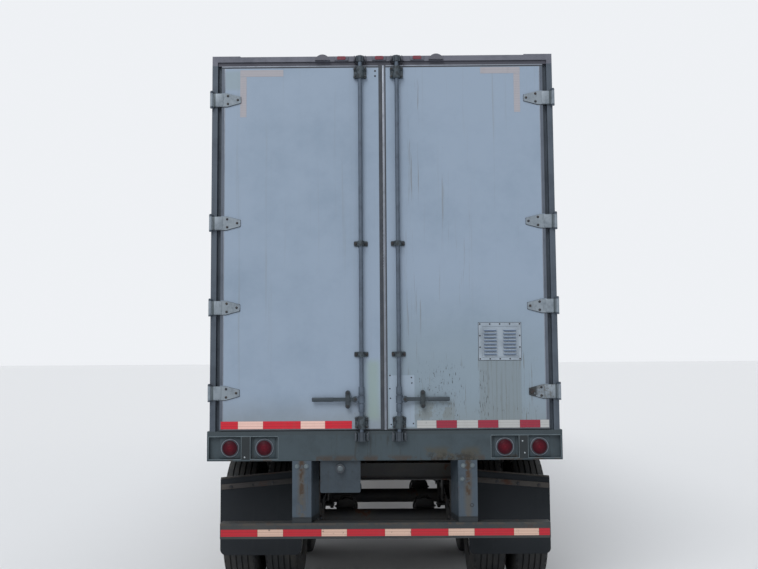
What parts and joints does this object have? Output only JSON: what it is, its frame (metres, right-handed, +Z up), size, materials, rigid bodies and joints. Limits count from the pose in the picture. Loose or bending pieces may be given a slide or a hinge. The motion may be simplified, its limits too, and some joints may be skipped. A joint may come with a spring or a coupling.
{
  "type": "semi trailer",
  "caption": "Two-axle box semi trailer with rear swing doors, lock rods, a louvre vent, lamps, underride guard, mud flaps and parking legs.",
  "frame": {"origin": "on the road under the middle of the body", "axes": "+Z up, +Y to the nose with its kingpin, +X to the right of someone facing the rear doors"},
  "size_m": [2.591, 16.2939, 4.1229],
  "materials": {
    "body_paint": "white paint, dulled by weather",
    "frame_steel": "grey steel, weathered",
    "alloy": "mill finish",
    "lock_steel": "galvanised, dulled",
    "chassis_black": "black paint with rust",
    "rusty_steel": "brown, rusty",
    "seal_rubber": "black",
    "flap_rubber": "black, dusty",
    "tyre": "black, dusty",
    "wheel_paint": "white paint",
    "lamp": "red lens",
    "boards": "hardwood, worn"
  },
  "bodies": {
    "chassis": {"air_tanks": "chassis_black", "axles": "chassis_black", "bottom_rails": "alloy", "brake_chambers": "chassis_black", "coupler": "chassis_black", "cross_members": "frame_steel", "flap_bars": "rusty_steel", "floor_deck": "boards", "front_wall": "body_paint", "guard_bar": "chassis_black", "guard_posts": "frame_steel", "header_lamps": "lamp", "landing_braces": "chassis_black", "landing_crank": "chassis_black", "landing_feet": "chassis_black", "landing_legs": "chassis_black", "leaf_springs": "chassis_black", "marker_lamps": "lamp", "mud_flaps": "flap_rubber", "plate_bracket": "frame_steel", "radius_rods": "chassis_black", "rear_header": "frame_steel", "rear_posts": "frame_steel", "rear_sill": "frame_steel", "roof_bows": "frame_steel", "roof_sheet": "alloy", "service_panel": "alloy", "side_walls": "body_paint", "slider_frame": "chassis_black", "slider_rails": "chassis_black", "spring_hangers": "chassis_black", "tail_lamps": "lamp", "top_rails": "alloy"},
    "door_left": {"door_left_hinges": "alloy", "door_left_lock_guides": "lock_steel", "door_left_lock_rod": "lock_steel", "door_left_panel": "body_paint", "door_left_seal": "seal_rubber"},
    "door_right": {"door_right_hinges": "alloy", "door_right_lock_guides": "lock_steel", "door_right_lock_rod": "lock_steel", "door_right_panel": "body_paint", "door_right_seal": "seal_rubber", "door_right_vent": "alloy"},
    "wheels_front_left": {"tyres_front_left": "tyre", "wheels_front_left": "wheel_paint"},
    "wheels_front_right": {"tyres_front_right": "tyre", "wheels_front_right": "wheel_paint"},
    "wheels_rear_left": {"tyres_rear_left": "tyre", "wheels_rear_left": "wheel_paint"},
    "wheels_rear_right": {"tyres_rear_right": "tyre", "wheels_rear_right": "wheel_paint"}
  },
  "joints": [
    {"name": "door_left_swing", "type": "hinge", "parent": "chassis", "child": "door_left", "pos_m": [-1.2795, -8.095, 2.677], "axis": [0, 0, -1], "range_deg": [0, 265]},
    {"name": "door_right_swing", "type": "hinge", "parent": "chassis", "child": "door_right", "pos_m": [1.2795, -8.095, 2.677], "axis": [0, 0, 1], "range_deg": [0, 265]},
    {"name": "wheels_rear_left_spin", "type": "hinge", "parent": "chassis", "child": "wheels_rear_left", "pos_m": [-0.984, -7.01, 0.527], "axis": [1, 0, 0], "continuous": true},
    {"name": "wheels_rear_right_spin", "type": "hinge", "parent": "chassis", "child": "wheels_rear_right", "pos_m": [0.984, -7.01, 0.527], "axis": [1, 0, 0], "continuous": true},
    {"name": "wheels_front_left_spin", "type": "hinge", "parent": "chassis", "child": "wheels_front_left", "pos_m": [-0.984, -5.765, 0.527], "axis": [1, 0, 0], "continuous": true},
    {"name": "wheels_front_right_spin", "type": "hinge", "parent": "chassis", "child": "wheels_front_right", "pos_m": [0.984, -5.765, 0.527], "axis": [1, 0, 0], "continuous": true}
  ]
}
